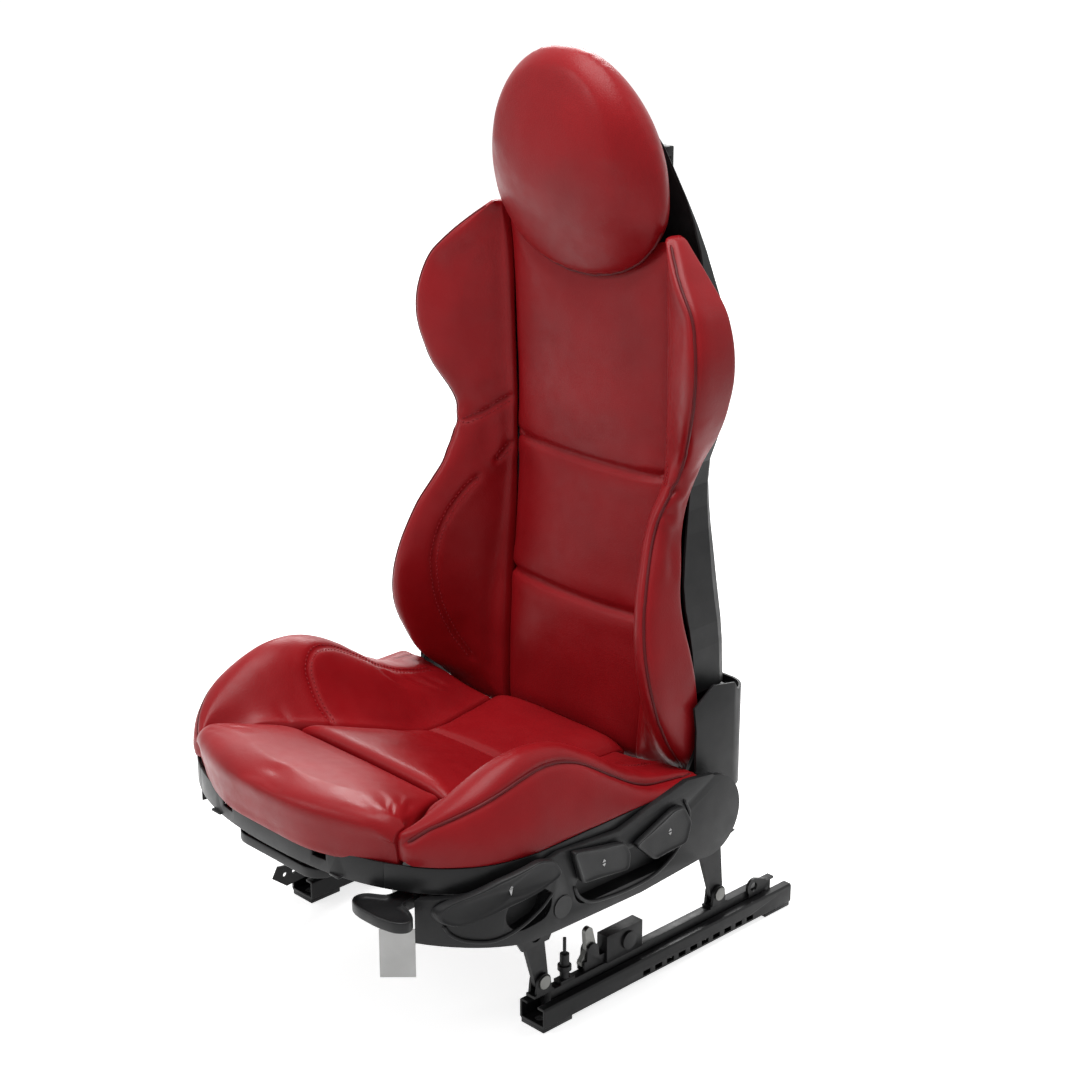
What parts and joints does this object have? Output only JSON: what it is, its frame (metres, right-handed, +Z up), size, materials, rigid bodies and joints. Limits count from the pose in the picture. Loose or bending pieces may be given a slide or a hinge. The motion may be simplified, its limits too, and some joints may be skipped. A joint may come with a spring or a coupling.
{
  "type": "seat",
  "caption": "Adjustable racing-style bucket seat in red leather with fixed headrest, on floor rails with height, tilt, recline, slide and thigh adjustment",
  "frame": {"origin": "On the floor, midway between the four floor bolts", "axes": "+Z up; the seat faces -Y; +X is the side with the hand levers, the occupant's left"},
  "size_m": [0.5414, 0.6356, 1.0369],
  "materials": {
    "red_leather": "satin",
    "black_plastic": "fine grain",
    "dark_trim": "satin",
    "black_steel": "semi gloss",
    "zinc_steel": "zinc plated",
    "white_tag": "matte"
  },
  "bodies": {
    "floor_rails": {"left_lower_rail": "black_steel", "right_lower_rail": "black_steel", "rail_feet": "black_steel"},
    "carriage": {"left_upper_rail": "black_steel", "right_upper_rail": "black_steel", "rail_balls": "zinc_steel", "link_brackets": "black_steel", "lower_pivot_pins": "zinc_steel", "latch_housing": "black_steel", "latch_cable_end": "black_plastic", "connector_bracket": "black_steel", "connector_screws": "zinc_steel", "belt_anchor": "black_steel"},
    "latch": {"latch_lever": "zinc_steel"},
    "front_links": {"left_front_link": "black_steel", "right_front_link": "black_steel"},
    "rear_links": {"left_rear_link": "black_steel", "right_rear_link": "black_steel"},
    "lift_yoke": {"rear_cross_tube": "black_steel", "front_link_tube": "black_steel", "lift_couplers": "black_steel"},
    "seat_frame": {"left_side_member": "black_steel", "right_side_member": "black_steel", "front_cross_member": "black_steel", "seat_pan": "black_steel", "left_recliner": "zinc_steel", "right_recliner": "zinc_steel", "recliner_pins": "zinc_steel", "left_side_cover": "black_plastic", "right_side_cover": "black_plastic", "cover_cap": "dark_trim", "front_valance": "dark_trim", "left_sill": "dark_trim", "right_sill": "dark_trim", "paddle_brackets": "black_steel", "thigh_guide_bushes": "zinc_steel", "label_tag": "white_tag", "seat_cushion": "red_leather", "left_seat_bolster": "red_leather", "right_seat_bolster": "red_leather"},
    "thigh_support": {"thigh_support_plate": "black_steel", "thigh_support_pad": "red_leather"},
    "thigh_paddle": {"thigh_release_paddle": "dark_trim"},
    "slide_paddle": {"slide_release_paddle": "dark_trim"},
    "tilt_lever_body": {"tilt_lever": "black_plastic"},
    "height_lever_body": {"height_lever": "black_plastic"},
    "recline_lever_body": {"recline_lever": "black_plastic"},
    "backrest": {"left_recliner_arm": "black_steel", "right_recliner_arm": "black_steel", "backrest_lower_beam": "black_steel", "backrest_hoop": "black_steel", "backrest_panel": "black_steel", "headrest_plate": "black_steel", "back_shell": "black_plastic", "lower_back_cover": "black_plastic", "belt_guide": "black_plastic", "back_cushion": "red_leather", "left_back_wing": "red_leather", "right_back_wing": "red_leather", "headrest_pad": "red_leather"}
  },
  "joints": [
    {"name": "rail_slide", "type": "slide", "parent": "floor_rails", "child": "carriage", "axis": [0, -1, 0], "range_m": [-0.1, 0.12]},
    {"name": "latch_swing", "type": "hinge", "parent": "carriage", "child": "latch", "pos_m": [0.203, -0.118, 0.062], "axis": [1, 0, 0], "range_deg": [0, 12]},
    {"name": "front_link_swing", "type": "hinge", "parent": "carriage", "child": "front_links", "pos_m": [0, -0.198, 0.056], "axis": [1, 0, 0], "range_deg": [0, 38]},
    {"name": "seat_height", "type": "hinge", "parent": "carriage", "child": "rear_links", "pos_m": [0, 0.092, 0.056], "axis": [1, 0, 0], "range_deg": [0, 38]},
    {"name": "yoke_level", "type": "hinge", "parent": "rear_links", "child": "lift_yoke", "pos_m": [0, 0.074, 0.144], "axis": [1, 0, 0], "range_deg": [-38, 0]},
    {"name": "cushion_tilt", "type": "hinge", "parent": "lift_yoke", "child": "seat_frame", "pos_m": [0, 0.074, 0.144], "axis": [-1, 0, 0], "range_deg": [-2, 3.5]},
    {"name": "backrest_recline", "type": "hinge", "parent": "seat_frame", "child": "backrest", "pos_m": [0, 0.015, 0.206], "axis": [-1, 0, 0], "range_deg": [-4, 30]},
    {"name": "thigh_extend", "type": "slide", "parent": "seat_frame", "child": "thigh_support", "axis": [0, -1, 0], "range_m": [0, 0.04]},
    {"name": "slide_release", "type": "hinge", "parent": "seat_frame", "child": "slide_paddle", "pos_m": [0, -0.351, 0.209], "axis": [-1, 0, 0], "range_deg": [0, 8], "stiffness_Nm_per_rad": 0.8},
    {"name": "thigh_release", "type": "hinge", "parent": "seat_frame", "child": "thigh_paddle", "pos_m": [0.174, -0.351, 0.209], "axis": [-1, 0, 0], "range_deg": [0, 8], "stiffness_Nm_per_rad": 0.8},
    {"name": "tilt_lever_pull", "type": "hinge", "parent": "seat_frame", "child": "tilt_lever_body", "pos_m": [0.22115, -0.35, 0.208], "axis": [0.9703, -0.2419, 0], "range_deg": [0, 9], "stiffness_Nm_per_rad": 0.8},
    {"name": "height_lever_pull", "type": "hinge", "parent": "seat_frame", "child": "height_lever_body", "pos_m": [0.2658, -0.193, 0.226], "axis": [1, 0, 0], "range_deg": [0, 12], "stiffness_Nm_per_rad": 0.8},
    {"name": "recline_lever_pull", "type": "hinge", "parent": "seat_frame", "child": "recline_lever_body", "pos_m": [0.2658, -0.053, 0.22], "axis": [-1, 0, 0], "range_deg": [0, 12], "stiffness_Nm_per_rad": 0.8}
  ],
  "couplings": [
    {"joint": "front_link_swing", "follows": "seat_height", "ratio": 1},
    {"joint": "yoke_level", "follows": "seat_height", "ratio": -1},
    {"joint": "latch_swing", "follows": "slide_release", "ratio": 1.5}
  ]
}
